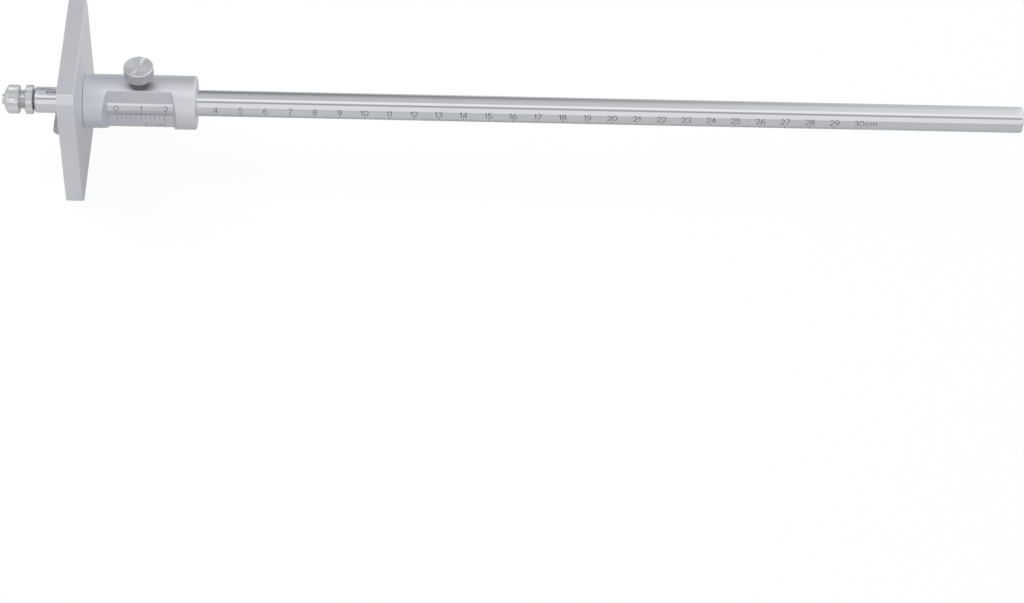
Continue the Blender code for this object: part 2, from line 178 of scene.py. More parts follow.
class Graph:
    """A node tree, with one method that adds any node."""

    def __init__(self, owner: bpy.types.Material | bpy.types.World) -> None:
        """Give a material or a world its nodes, emptied."""
        owner.use_nodes = True
        self.tree = owner.node_tree
        self.tree.nodes.clear()

    def node(self, kind: str, settings: dict[str, object] | None = None,
             inputs: dict[object, object] | None = None) -> bpy.types.Node:
        """Add a node.

        Args:
            kind: The node's type.
            settings: Its properties, set before its sockets. A ramp's stops go under "stops".
            inputs: What each of its input sockets holds: a number, a colour, a socket or a Value.

        Returns:
            The node.
        """
        node = self.tree.nodes.new(kind)
        for name, value in (settings or {}).items():
            if name == "stops":
                self._stops(node.color_ramp, value)
            else:
                setattr(node, name, value)
        for key, value in (inputs or {}).items():
            source = value.source if isinstance(value, Value) else value
            if isinstance(source, bpy.types.NodeSocket):
                self.tree.links.new(source, node.inputs[key])
            else:
                node.inputs[key].default_value = source
        return node

    def _stops(self, ramp: bpy.types.ColorRamp, stops: Sequence[tuple[float, float]]) -> None:
        """Give a ramp its grey stops, each a place and a tone."""
        while len(ramp.elements) < len(stops):
            ramp.elements.new(1.0)
        for element, (place, tone) in zip(ramp.elements, stops):
            element.position = place
            element.color = (tone, tone, tone, 1.0)

    def value(self, kind: str, output: object, settings: dict[str, object] | None = None,
              inputs: dict[object, object] | None = None) -> Value:
        """Add a node and return one of its outputs as a Value."""
        return Value(self, self.node(kind, settings, inputs).outputs[output])

    def place(self) -> bpy.types.NodeSocket:
        """Return the Object coordinates."""
        return self.node("ShaderNodeTexCoord").outputs["Object"]

    def parts_of(self, vector: bpy.types.NodeSocket) -> tuple[Value, Value, Value]:
        """Return a vector's three numbers."""
        node = self.node("ShaderNodeSeparateXYZ", {}, {"Vector": vector})
        return tuple(Value(self, node.outputs[axis]) for axis in "XYZ")

    def measured(self, vector: bpy.types.NodeSocket, sizes: Sequence[float],
                 centre: Sequence[float] = (0.0, 0.0, 0.0)) -> bpy.types.NodeSocket:
        """Return a vector from a centre, in units of a size along each axis."""
        node = self.node("ShaderNodeMapping", {"vector_type": "TEXTURE"},
                         {"Vector": vector, "Location": centre, "Scale": sizes})
        return node.outputs["Vector"]

    def noise(self, vector: bpy.types.NodeSocket, sizes: Sequence[float], detail: float,
              roughness: float) -> Value:
        """Return a noise whose grains have about the given size along each axis."""
        return self.value("ShaderNodeTexNoise", "Fac", {},
                          {"Vector": self.measured(vector, sizes), "Scale": 1.0, "Detail": detail,
                           "Roughness": roughness})

    def rays(self) -> tuple[Value, Value]:
        """Return whether a ray comes from the camera, and whether it was reflected or let through."""
        path = self.node("ShaderNodeLightPath")
        seen, glossy, through = (Value(self, path.outputs[name])
                                 for name in ("Is Camera Ray", "Is Glossy Ray", "Is Transmission Ray"))
        return seen, glossy.larger(through)

    def mixed(self, share: object, first: object, second: object) -> bpy.types.NodeSocket:
        """Return a colour between two."""
        node = self.node("ShaderNodeMix", {"data_type": "RGBA"},
                         {"Factor": share, 6: first, 7: second})
        return node.outputs[2]

    def blended(self, share: Value, first: bpy.types.NodeSocket,
                second: bpy.types.NodeSocket) -> bpy.types.NodeSocket:
        """Return a shader between two."""
        return self.node("ShaderNodeMixShader", {}, {0: share, 1: first, 2: second}).outputs["Shader"]

    def bumped(self, height: Value, distance: float) -> bpy.types.NodeSocket:
        """Return the normal of a surface raised by a height."""
        node = self.node("ShaderNodeBump", {}, {"Strength": 1.0, "Distance": distance, "Height": height})
        return node.outputs["Normal"]

    def surface(self, shader: bpy.types.NodeSocket) -> None:
        """End the graph in a surface."""
        self.node("ShaderNodeOutputMaterial", {}, {"Surface": shader})


def grey(tone: float, warmth: float = 0.0) -> tuple[float, float, float, float]:
    """Return a grey, a little warmer or, below zero, cooler."""
    return (tone * (1 + warmth), tone * (1 + warmth / 2), tone * (1 - warmth), 1.0)


@dataclass(frozen=True)
class Finish:
    """What every finish has: a name and the Principled values that stay the same all over."""

    name: str
    tone: float
    warmth: float
    roughness: float
    slot: Slot

    def material(self) -> bpy.types.Material:
        """Return this finish as a material, made once."""
        made = bpy.data.materials.get(self.name)
        if made is None:
            made = bpy.data.materials.new(self.name)
            graph = Graph(made)
            shader = graph.node("ShaderNodeBsdfPrincipled", {}, {"Metallic": 1.0, **self.inputs(graph)})
            graph.surface(shader.outputs["BSDF"])
        return made

    def inputs(self, graph: Graph) -> dict[str, object]:
        """Return the Principled sockets' values and links."""
        return {"Base Color": grey(self.tone, self.warmth), "Roughness": self.roughness}

    def toned(self, graph: Graph, share: Value, factor: float,
              warmer: float = 0.0) -> bpy.types.NodeSocket:
        """Return the finish's grey, made darker or lighter by a factor where share is high."""
        other = grey(self.tone * factor, self.warmth + warmer)
        return graph.mixed(share, grey(self.tone, self.warmth), other)


@dataclass(frozen=True)
class PolishedChrome(Finish):
    """Hard chrome on a ground and polished rod: fine lines along it, and faint smudges from hands."""

    line_length: float = 0.060
    line_width: float = 0.00016
    line_depth: float = 0.0000004
    smudge: float = 0.018

    def inputs(self, graph: Graph) -> dict[str, object]:
        """Return the Principled sockets' values and links."""
        place = graph.place()
        lines = graph.noise(place, (self.line_length, self.line_width, self.line_width), 3.0, 0.6)
        smudges = graph.noise(place, [self.smudge] * 3, 3.0, 0.55).smooth(0.42, 0.75)
        return {"Base Color": self.toned(graph, smudges * 0.5, 0.94),
                "Roughness": self.roughness + smudges * 0.05 + lines.smooth(0.45, 0.8) * 0.05,
                "Normal": graph.bumped(lines, self.line_depth)}


@dataclass(frozen=True)
class SatinChrome(Finish):
    """Chrome over a finely blasted surface: an even grain, with slow changes of sheen."""

    grain: float = 0.00012
    grain_depth: float = 0.000004
    cloud: float = 0.022

    def inputs(self, graph: Graph) -> dict[str, object]:
        """Return the Principled sockets' values and links."""
        place = graph.place()
        grain = graph.noise(place, [self.grain] * 3, 2.0, 0.6)
        clouds = graph.noise(place, [self.cloud] * 3, 4.0, 0.55).smooth(0.35, 0.7)
        return {"Base Color": self.toned(graph, clouds, 0.95),
                "Roughness": self.roughness + clouds * 0.05 + grain * 0.04,
                "Normal": graph.bumped(grain, self.grain_depth)}


@dataclass(frozen=True)
class TurnedMetal(Finish):
    """Metal straight from the lathe: fine rings about the piece's axis, and a little tarnish.

    Rings on a face spread its sheen across them, a quarter turn from their own direction.
    """

    axis: tuple[float, float, float] = (0.0, 0.0, 0.0)
    along: int = 0
    ring: float = 0.00022
    ring_depth: float = 0.0000025
    stain: float = 0.004
    brushed: float = 0.0
    across_the_rings: float = 0.25
    slope: float = 1.7

    def inputs(self, graph: Graph) -> dict[str, object]:
        """Return the Principled sockets' values and links."""
        place = graph.place()
        parts = graph.parts_of(graph.measured(place, (1.0, 1.0, 1.0), self.axis))
        across = [part for index, part in enumerate(parts) if index != self.along]
        reach = (across[0] * across[0] + across[1] * across[1]).rooted()
        walk = (parts[self.along] + reach * self.slope) / self.ring
        rings = graph.value("ShaderNodeTexNoise", "Fac", {"noise_dimensions": "1D"},
                            {"W": walk, "Scale": 1.0, "Detail": 2.0, "Roughness": 0.6})
        stains = graph.noise(place, [self.stain] * 3, 4.0, 0.6).smooth(0.4, 0.75)
        return {"Base Color": self.toned(graph, stains, 0.86, 0.01),
                "Roughness": self.roughness + rings * 0.06 + stains * 0.07,
                "Anisotropic": self.brushed, "Anisotropic Rotation": self.across_the_rings,
                "Normal": graph.bumped(rings, self.ring_depth)}


@dataclass(frozen=True)
class GroundSteel(Finish):
    """Hardened steel, ground along one axis, a little darker where it was heated."""

    line: float = 0.00012
    line_length: float = 0.004
    line_depth: float = 0.0000015

    def inputs(self, graph: Graph) -> dict[str, object]:
        """Return the Principled sockets' values and links."""
        place = graph.place()
        lines = graph.noise(place, (self.line, self.line_length, self.line), 3.0, 0.6)
        patches = graph.noise(place, [self.line_length] * 3, 3.0, 0.5).smooth(0.4, 0.7)
        return {"Base Color": self.toned(graph, patches, 0.8, 0.03),
                "Roughness": self.roughness + lines * 0.12,
                "Normal": graph.bumped(lines, self.line_depth)}


@dataclass(frozen=True)
class Brass(TurnedMetal):
    """Machined brass with a brown bloom."""

    bright: tuple[float, float, float, float] = (0.78, 0.58, 0.28, 1.0)
    bloom: tuple[float, float, float, float] = (0.58, 0.40, 0.18, 1.0)

    def inputs(self, graph: Graph) -> dict[str, object]:
        """Return the Principled sockets' values and links."""
        sockets = super().inputs(graph)
        stains = graph.noise(graph.place(), [self.stain] * 3, 3.0, 0.6).smooth(0.4, 0.7)
        sockets["Base Color"] = graph.mixed(stains, self.bright, self.bloom)
        return sockets


@dataclass(frozen=True)
class EngraverPaint(Finish):
    """Black filling in an engraved mark, thinner in places."""

    speck: float = 0.0003

    def inputs(self, graph: Graph) -> dict[str, object]:
        """Return the Principled sockets' values and links."""
        specks = graph.noise(graph.place(), [self.speck] * 3, 2.0, 0.6).smooth(0.4, 0.8)
        return {"Base Color": self.toned(graph, specks, 3.0), "Roughness": self.roughness,
                "Metallic": 0.0}


@dataclass
class Outline:
    """The half outline of a turned piece: (radius, height) points, from its first end to its last."""

    points: list[Station]

    @classmethod
    def bar(cls, radius: float, length: float) -> "Outline":
        """Return the outline of a plain round bar."""
        return cls([(0.0, 0.0), (radius, 0.0), (radius, length), (0.0, length)])

    def eased(self, size: float) -> "Outline":
        """Round every corner between the outline's ends.

        Args:
            size: How far from the corner the rounding starts.

        Returns:
            The rounded outline.
        """
        corners = zip(self.points, self.points[1:], self.points[2:])
        rounded = [point for corner in corners for point in self._corner(*corner, size)]
        return Outline([self.points[0], *rounded, self.points[-1]])

    @staticmethod
    def _corner(before: Station, corner: Station, after: Station, size: float) -> list[Station]:
        """Return the points of one rounded corner, which keep to the two lines that meet there."""
        middle = Vector(corner)
        ends = []
        for neighbour in (before, after):
            away = Vector(neighbour) - middle
            ends.append(middle + away.normalized() * min(size, away.length * EASE_REACH))
        points = []
        for step in range(EASE_STEPS + 1):
            share = step / EASE_STEPS
            points.append(tuple(ends[0].lerp(middle, share).lerp(middle.lerp(ends[1], share), share)))
        return points


def rounded_end(radius: float, length: float, size: float) -> list[Station]:
    """Return the outer corner at the far end of a turned piece, as a quarter round."""
    angles = [radians(90.0 * step / ROUND_STEPS) for step in range(ROUND_STEPS + 1)]
    return [(radius - size * (1 - cos(angle)), length - size * (1 - sin(angle))) for angle in angles]


def linked(name: str, data: bpy.types.ID) -> bpy.types.Object:
    """Return a new object in the scene, made of some data."""
    made = bpy.data.objects.new(name, data)
    bpy.context.scene.collection.objects.link(made)
    return made


class Workpiece:
    """A piece on the bench: a bmesh, and the steps that shape it."""

    def __init__(self) -> None:
        """Start with an empty bmesh."""
        self.mesh = bmesh.new()

    @classmethod
    def turned(cls, outline: Outline, steps: int, bored: bool = False) -> "Workpiece":
        """Spin an outline once round +Z.

        Args:
            outline: The half outline. It ends on the axis at both ends, unless the piece is bored.
            steps: How many facets go round.
            bored: Whether the outline joins its own start.

        Returns:
            The turned piece, closed.
        """
        piece = cls().chained([(radius, 0.0, height) for radius, height in outline.points], closed=bored)
        return piece.spun(FULL_TURN, steps, merged=True).cleaned()

    @classmethod
    def block(cls, size: Sequence[float]) -> "Workpiece":
        """Return a box about the origin."""
        piece = cls()
        bmesh.ops.create_cube(piece.mesh, size=1.0)
        bmesh.ops.scale(piece.mesh, vec=size, verts=piece.mesh.verts)
        return piece

    @classmethod
    def prism(cls, outline: Sequence[Point], length: float) -> "Workpiece":
        """Extrude an outline in X and Y by a length, half to each side of z = 0."""
        piece = cls()
        face = piece.mesh.faces.new([piece.mesh.verts.new((x, y, -length / 2)) for x, y in outline])
        raised = bmesh.ops.extrude_face_region(piece.mesh, geom=[face])
        moved = [item for item in raised["geom"] if isinstance(item, bmesh.types.BMVert)]
        bmesh.ops.translate(piece.mesh, vec=(0, 0, length), verts=moved)
        return piece.cleaned()

    def chained(self, points: Sequence[Sequence[float]], closed: bool = False) -> "Workpiece":
        """Add points and join each to the next and, where the chain is closed, the last to the first."""
        verts = [self.mesh.verts.new(point) for point in points]
        pairs = list(zip(verts, verts[1:]))
        if closed:
            pairs.append((verts[-1], verts[0]))
        for pair in pairs:
            self.mesh.edges.new(pair)
        return self

    def spun(self, angle: float, steps: int, axis: Sequence[float] = (0.0, 0.0, 1.0), rise: float = 0.0,
             merged: bool = False) -> "Workpiece":
        """Sweep the points and edges round an axis through the origin.

        Args:
            angle: How far they go round.
            steps: How many facets that makes.
            axis: The axis.
            rise: How far each step climbs along +Z.
            merged: Whether the end joins the start.

        Returns:
            This piece.
        """
        bmesh.ops.spin(self.mesh, geom=self.mesh.verts[:] + self.mesh.edges[:], cent=(0, 0, 0), axis=axis,
                       dvec=(0, 0, rise), angle=angle, steps=steps, use_merge=merged)
        return self

    def trimmed(self, spot: Vector, away: Vector) -> "Workpiece":
        """Cut off what lies beyond a plane through a point, and close the cut."""
        everything = self.mesh.verts[:] + self.mesh.edges[:] + self.mesh.faces[:]
        bmesh.ops.bisect_plane(self.mesh, geom=everything, plane_co=spot, plane_no=away, clear_outer=True)
        rim = [edge for edge in self.mesh.edges
               if edge.is_boundary and all(abs((vert.co - spot).dot(away)) < HAIR for vert in edge.verts)]
        bmesh.ops.edgeloop_fill(self.mesh, edges=rim)
        return self

    def cleaned(self) -> "Workpiece":
        """Merge doubled points and turn every face outwards."""
        bmesh.ops.remove_doubles(self.mesh, verts=self.mesh.verts, dist=HAIR)
        bmesh.ops.dissolve_degenerate(self.mesh, edges=self.mesh.edges, dist=HAIR)
        bmesh.ops.recalc_face_normals(self.mesh, faces=self.mesh.faces)
        return self

    def placed(self, spot: Vector, facing: Facing = Facing.UP) -> "Workpiece":
        """Turn the piece to face a way and move it to its place."""
        matrix = Matrix.Translation(spot) @ Euler(facing.value).to_matrix().to_4x4()
        bmesh.ops.transform(self.mesh, matrix=matrix, verts=self.mesh.verts)
        return self

    def knurled(self, crest: float, depth: float, low: float, high: float, teeth: int) -> "Workpiece":
        """Press teeth into the round wall between two heights, before the piece is placed.

        Args:
            crest: The radius of the wall.
            depth: How deep the teeth go.
            low: The height where the teeth start.
            high: The height where they end.
            teeth: How many teeth go round.

        Returns:
            This piece.
        """
        for vert in self.mesh.verts:
            reach = hypot(vert.co.x, vert.co.y)
            if low - HAIR <= vert.co.z <= high + HAIR and reach > crest - depth:
                wave = atan2(vert.co.y, vert.co.x) / FULL_TURN * teeth % 1.0
                share = 1 - depth * (1 - abs(2 * wave - 1)) / reach
                vert.co.x *= share
                vert.co.y *= share
        return self

    def lone_object(self, name: str) -> bpy.types.Object:
        """Return the piece as an object of its own, and give the bmesh up."""
        mesh = bpy.data.meshes.new(name)
        self.mesh.to_mesh(mesh)
        self.mesh.free()
        return linked(name, mesh)

    def joined(self, operation: str, tool: "Workpiece") -> "Workpiece":
        """Cut another piece out of this one, or add it, with an exact Boolean."""
        piece = self.lone_object("piece")
        other = tool.lone_object("tool")
        modifier = piece.modifiers.new(operation, "BOOLEAN")
        modifier.operation = operation
        modifier.solver = "EXACT"
        modifier.object = other
        made = bpy.data.meshes.new_from_object(piece.evaluated_get(bpy.context.evaluated_depsgraph_get()))
        self.mesh = bmesh.new()
        self.mesh.from_mesh(made)
        for old in (piece, other):
            bpy.data.meshes.remove(old.data)
        bpy.data.meshes.remove(made)
        return self.cleaned()

    def without(self, tool: "Workpiece") -> "Workpiece":
        """Cut another piece out of this one."""
        return self.joined("DIFFERENCE", tool)

    def broken(self, width: float, segments: int,
               chosen: Callable[[bmesh.types.BMEdge], bool]) -> "Workpiece":
        """Break the chosen sharp edges with a small round."""
        edges = [edge for edge in self.mesh.edges
                 if edge.is_manifold and edge.calc_face_angle() > SHARP_FROM and chosen(edge)]
        bmesh.ops.bevel(self.mesh, geom=edges, offset=width, segments=segments, profile=0.5,
                        affect="EDGES", material=-1, clamp_overlap=True)
        return self.cleaned()

    def finished(self, name: str, body: Body, finish: Finish, *nodes: str,
                 smooth_up_to: float = SMOOTH_UP_TO) -> bpy.types.Object:
        """Turn the piece into a dressed object on its body.

        Args:
            name: The object's name.
            body: The body that it rides on.
            finish: Its finish.
            nodes: The solids that it stands for.
            smooth_up_to: The largest angle between faces that still looks round.

        Returns:
            The object.
        """
        made = self.lone_object(name)
        made.data.shade_smooth()
        made.data.set_sharp_from_angle(angle=smooth_up_to)
        weights = made.modifiers.new("even_flats", "WEIGHTED_NORMAL")
        weights.keep_sharp = True
        return dressed(made, body, finish, *nodes)


def dressed(made: bpy.types.Object, body: Body, finish: Finish, *nodes: str) -> bpy.types.Object:
    """Give an object its finish and its body, and hide the solids that it stands for."""
    made.data.materials.clear()
    made.data.materials.append(finish.material())
    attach(made, body.value)
    if nodes:
        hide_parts(*nodes)
    log.info("%s: %d faces on %s", made.name, len(made.data.polygons), body.value)
    return made


@dataclass(frozen=True)
class Arc:
    """A stretch of an ellipse that an engraver's cutter follows, in shares of the letter's height."""

    centre: Point
    reach: Point
    start: float
    end: float
    fewest: int = 3
    step: float = 18.0

    def points(self) -> list[Point]:
        """Return the points along the arc."""
        steps = max(self.fewest, ceil(abs(self.end - self.start) / self.step))
        made = []
        for step in range(steps + 1):
            angle = radians(self.start + (self.end - self.start) * step / steps)
            made.append((self.centre[0] + self.reach[0] * cos(angle),
                         self.centre[1] + self.reach[1] * sin(angle)))
        return made


@dataclass(frozen=True)
class Letter:
    """One sign: its width and its strokes, each a run of points and arcs, in shares of its height."""

    width: float
    strokes: tuple[tuple[Point | Arc, ...], ...]

    def runs(self) -> list[list[Point]]:
        """Return each stroke as points."""
        made = []
        for stroke in self.strokes:
            run: list[Point] = []
            for item in stroke:
                run += item.points() if isinstance(item, Arc) else [item]
            made.append(run)
        return made


LETTERS = {
    "0": Letter(0.70, ((Arc((0.35, 0.50), (0.35, 0.50), 90, 450),),)),
    "1": Letter(0.30, (((0.0, 0.74), (0.24, 1.0), (0.24, 0.0)),)),
    "2": Letter(0.62, ((Arc((0.31, 0.69), (0.30, 0.31), 170, -35), (0.0, 0.0), (0.62, 0.0)),)),
    "3": Letter(0.62, ((Arc((0.29, 0.76), (0.27, 0.24), 160, -90),
                        Arc((0.29, 0.27), (0.32, 0.27), 90, -160)),)),
    "4": Letter(0.68, (((0.68, 0.27), (0.0, 0.27), (0.48, 1.0), (0.48, 0.0)),)),
    "5": Letter(0.62, (((0.56, 1.0), (0.12, 1.0), (0.06, 0.55),
                        Arc((0.29, 0.31), (0.32, 0.31), 125, -155)),)),
    "6": Letter(0.64, ((Arc((0.62, 0.32), (0.61, 0.70), 105, 175),
                        Arc((0.32, 0.30), (0.31, 0.30), 180, 540)),)),
    "7": Letter(0.62, (((0.0, 1.0), (0.62, 1.0), (0.20, 0.0)),)),
    "8": Letter(0.64, ((Arc((0.32, 0.76), (0.25, 0.24), -90, 270),
                        Arc((0.32, 0.26), (0.32, 0.26), 90, 450)),)),
    "9": Letter(0.64, ((Arc((0.32, 0.70), (0.31, 0.30), 0, 360),
                        Arc((0.02, 0.68), (0.61, 0.70), 0, -75)),)),
    "c": Letter(0.56, ((Arc((0.33, 0.33), (0.33, 0.33), 48, 312),),)),
    "m": Letter(0.94, (((0.0, 0.0), (0.0, 0.66)),
                       (Arc((0.235, 0.42), (0.235, 0.24), 180, 0), (0.47, 0.0)),
                       (Arc((0.705, 0.42), (0.235, 0.24), 180, 0), (0.94, 0.0)))),
    ",": Letter(0.14, (((0.12, 0.10), (0.0, -0.16)),)),
    " ": Letter(0.30, ()),
}


@dataclass
class Engraving:
    """Strokes cut into a surface and filled with paint, drawn flat and then wrapped onto it."""

    width: float
    proud: float = 0.000008
    depth: float = 0.000024
    step: float = 0.00018
    facets: int = 1
    runs: list[list[Point]] = field(default_factory=list)

    def line(self, start: Point, end: Point) -> None:
        """Add a straight stroke."""
        self.runs.append([start, end])

    def _fine(self, run: Sequence[Point]) -> list[Point]:
        """Return a run with its points one step apart at most, so that it bends with the surface."""
        fine = [run[0]]
        for first, second in zip(run, run[1:]):
            count = ceil(hypot(second[0] - first[0], second[1] - first[1]) / self.step)
            shares = [index / count for index in range(1, count + 1)]
            fine += [tuple(Vector(first).lerp(Vector(second), share)) for share in shares]
        return fine

    def text(self, words: str, left: float, base: float, height: float) -> None:
        """Add a line of letters that starts at left."""
        for sign in words:
            letter = LETTERS[sign]
            for run in letter.runs():
                self.runs.append([(left + x * height, base + y * height) for x, y in run])
            left += (letter.width + LETTER_GAP) * height

    @staticmethod
    def length(words: str, height: float) -> float:
        """Return how long a line of letters is."""
        return sum(LETTERS[sign].width + LETTER_GAP for sign in words) * height - LETTER_GAP * height

    def centred(self, words: str, middle: float, base: float, height: float) -> None:
        """Add a line of letters about a middle."""
        self.text(words, middle - self.length(words, height) / 2, base, height)

    def wrapped(self, name: str, onto: Callable[[Vector], Vector], body: Body,
                finish: Finish) -> bpy.types.Object:
        """Cut the strokes, each a flattened closed tube, and wrap them onto a surface.

        Args:
            name: The object's name.
            onto: What turns (along, up, out) into a place in the frame.
            body: The body that it rides on.
            finish: The paint.

        Returns:
            The object.
        """
        curve = bpy.data.curves.new(name, "CURVE")
        curve.dimensions = "3D"
        curve.bevel_depth = self.width / 2
        curve.bevel_resolution = self.facets
        curve.use_fill_caps = True
        for run in map(self._fine, self.runs):
            spline = curve.splines.new("POLY")
            spline.points.add(len(run) - 1)
            for point, (along, up) in zip(spline.points, run):
                point.co = (along, up, 0.0, 1.0)
        drawn = linked(name, curve)
        bpy.context.view_layer.update()
        mesh = bpy.data.meshes.new_from_object(drawn.evaluated_get(bpy.context.evaluated_depsgraph_get()))
        bpy.data.objects.remove(drawn)
        bpy.data.curves.remove(curve)
        flat = (self.proud + self.depth) / self.width
        for vert in mesh.vertices:
            out = vert.co.z * flat + (self.proud - self.depth) / 2
            vert.co = onto(Vector((vert.co.x, vert.co.y, out)))
        piece = Workpiece()
        piece.mesh.from_mesh(mesh)
        bpy.data.meshes.remove(mesh)
        made = piece.cleaned().lone_object(name)
        made.data.shade_smooth()
        return dressed(made, body, finish)


def middle_x(low: Vector, high: Vector) -> float:
    """Return the middle of a box along X."""
    return (low.x + high.x) / 2


@dataclass
class Beam:
    """The rod with its scale, bored at its left end for the clamp, and the set screw in its top."""

    facets: int = 224
    smooth_up_to: float = radians(20.0)
    corner: float = 0.0002
    left_chamfer: float = 0.0009
    station: float = 0.0015
    stations: int = 12
    right_round: float = 0.0011
    round_lead: float = 3.0
    scriber_fit: float = 0.00205
    bore: float = 0.0033
    thread_bore: float = 0.00398
    thread_depth: float = 0.00415
    screw_hole: float = 0.00186
    pocket_length: float = 0.0070
    pocket_width: float = 0.0046
    pocket_steps: int = 24
    overrun: float = 0.002
    zero_from_end: float = 0.0334
    number_base: float = radians(-1.5)
    number_height: float = 0.0025
    number_stroke: float = 0.00026
    mark_stroke: float = 0.00018
    mark_low: float = radians(-38.0)
    centimetre_top: float = radians(-7.0)
    half_top: float = radians(-15.0)
    millimetre_top: float = radians(-21.0)
    last_mark: int = 300
    unit_gap: float = 0.0009
    dog: float = 0.0010
    dog_sink: float = 0.0002
    slot_width: float = 0.0006
    slot_depth: float = 0.0005
    screw_facets: int = 64

    def __post_init__(self) -> None:
        """Read the rod's size and place from the frame."""
        low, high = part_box("beam_rod")
        self.left = low.x
        self.length = high.x - low.x
        self.radius = (high.y - low.y) / 2
        self.axis = Vector((low.x, 0.0, (low.z + high.z) / 2))
        self.zero = self.left + self.zero_from_end
        self.pocket_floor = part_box("set_screw")[1].z

    def on_axis(self, x: float, height: float = 0.0) -> Vector:
        """Return the point at x on the rod's axis, or height above it."""
        return Vector((x, 0.0, self.axis.z + height))

    def rod(self, finish: Finish, scriber_x: float, screw_x: float) -> bpy.types.Object:
        """Turn the rod, and drill it for the scriber and the set screw."""
        end = self.length
        floor = scriber_x - self.left
        chamfer = self.left_chamfer
        points = [(0.0, floor), (self.bore, floor), (self.bore, self.thread_depth),
                  (self.thread_bore, self.thread_depth), (self.thread_bore, 0.0),
                  (self.radius - chamfer, 0.0), (self.radius, chamfer)]
        points += [(self.radius, chamfer + self.station * step) for step in range(1, self.stations + 1)]
        points.append((self.radius, end - self.round_lead * self.right_round))
        outline = Outline(points).eased(self.corner)
        outline.points += [*rounded_end(self.radius, end, self.right_round), (0.0, end)]
        rod = Workpiece.turned(outline, self.facets).placed(self.on_axis(self.left), Facing.RIGHT)
        start = Vector((scriber_x, self.radius + self.overrun, self.axis.z))
        rod.without(plug(self.scriber_fit, 2 * (self.radius + self.overrun), start, Facing.FRONT))
        rod.without(plug(self.screw_hole, self.radius + self.overrun, self.on_axis(screw_x), Facing.UP))
        rod.without(self._pocket(screw_x))
        return rod.finished("rod", Body.BEAM, finish, "beam_rod", smooth_up_to=self.smooth_up_to)

    def _pocket(self, screw_x: float) -> Workpiece:
        """Return the tool that mills the pocket with round ends, in which the set screw sits."""
        radius = self.pocket_width / 2
        outline = []
        for middle, start in ((self.pocket_length - self.pocket_width, -pi / 2), (0.0, pi / 2)):
            for step in range(self.pocket_steps + 1):
                angle = start + pi * step / self.pocket_steps
                outline.append((middle + radius * cos(angle), radius * sin(angle)))
        tool = Workpiece.prism(outline, 2 * self.overrun)
        return tool.placed(Vector((screw_x, 0.0, self.pocket_floor + self.overrun)))

    def onto(self, spot: Vector) -> Vector:
        """Wrap (along the scale, up round the rod, out of it) onto the rod, from its front."""
        angle = spot.y / self.radius
        reach = self.radius + spot.z
        return Vector((self.zero + spot.x, -reach * cos(angle), self.axis.z + reach * sin(angle)))

    def scale(self, paint: Finish) -> None:
        """Cut the millimetre marks and number the centimetres."""
        marks = Engraving(self.mark_stroke)
        numbers = Engraving(self.number_stroke)
        tops = {0: self.centimetre_top, 5: self.half_top}
        base = self.number_base * self.radius
        for count in range(self.last_mark + 1):
            centimetres, millimetres = divmod(count, 10)
            top = tops.get(millimetres, self.millimetre_top)
            along = count * MILLIMETRE
            marks.line((along, self.mark_low * self.radius), (along, top * self.radius))
            if millimetres == 0:
                numbers.centred(str(centimetres), along, base, self.number_height)
        after = self.last_mark * MILLIMETRE + Engraving.length("30", self.number_height) / 2
        numbers.text("cm", after + self.unit_gap, base, self.number_height)
        marks.wrapped("scale_marks", self.onto, Body.BEAM, paint)
        numbers.wrapped("scale_numbers", self.onto, Body.BEAM, paint)

    def set_screw(self, finish: Finish) -> bpy.types.Object:
        """Turn the screw in the rod's top, with its dog, and saw its slot."""
        low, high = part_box("set_screw")
        middle = Vector((middle_x(low, high), 0.0, 0.0))
        radius = (high.x - low.x) / 2
        step = self.axis.z + self.bore - self.dog_sink
        outline = Outline([(0.0, low.z), (self.dog, low.z), (self.dog, step), (radius, step),
                           (radius, high.z), (0.0, high.z)])
        screw = Workpiece.turned(outline.eased(self.corner), self.screw_facets).placed(middle)
        saw = Workpiece.block((2 * (radius + self.overrun), self.slot_width, 2 * self.slot_depth))
        screw.without(saw.placed(middle + Vector((0.0, 0.0, high.z))))
        return screw.finished("set_screw_dressed", Body.BEAM, finish, "set_screw")


def plug(radius: float, length: float, start: Vector, facing: Facing, facets: int = 96) -> Workpiece:
    """Return a plain round tool that starts at a point and runs the way it faces."""
    return Workpiece.turned(Outline.bar(radius, length), facets).placed(start, facing)


@dataclass
class Scriber:
    """The hardened pin across the rod, ground back from its edge beside the fence."""

    facets: int = 96
    smooth_up_to: float = radians(20.0)
    slant: float = radians(13.0)
    edge: float = 0.00025
    end_bevel: float = 0.00012
    end_rise: float = 0.00004
    side_corners: int = 8
    overrun: float = 0.002

    def pin(self, finish: Finish) -> bpy.types.Object:
        """Turn the pin and grind its end."""
        low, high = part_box("scriber_pin")
        radius = (high.x - low.x) / 2
        length = high.y - low.y
        outline = Outline.bar(radius, length + self.overrun).eased(self.edge)
        pin = Workpiece.turned(outline, self.facets)
        pin.trimmed(Vector((radius, 0.0, length)), Vector((-sin(self.slant), 0.0, cos(self.slant))))
        ends = [face for face in pin.mesh.faces if len(face.verts) > self.side_corners]
        bmesh.ops.inset_region(pin.mesh, faces=ends, thickness=self.end_bevel, depth=self.end_rise)
        middle = Vector((middle_x(low, high), high.y, (low.z + high.z) / 2))
        pin.cleaned().placed(middle, Facing.FRONT)
        return pin.finished("scriber", Body.SCRIBER, finish, "scriber_pin",
                            smooth_up_to=self.smooth_up_to)


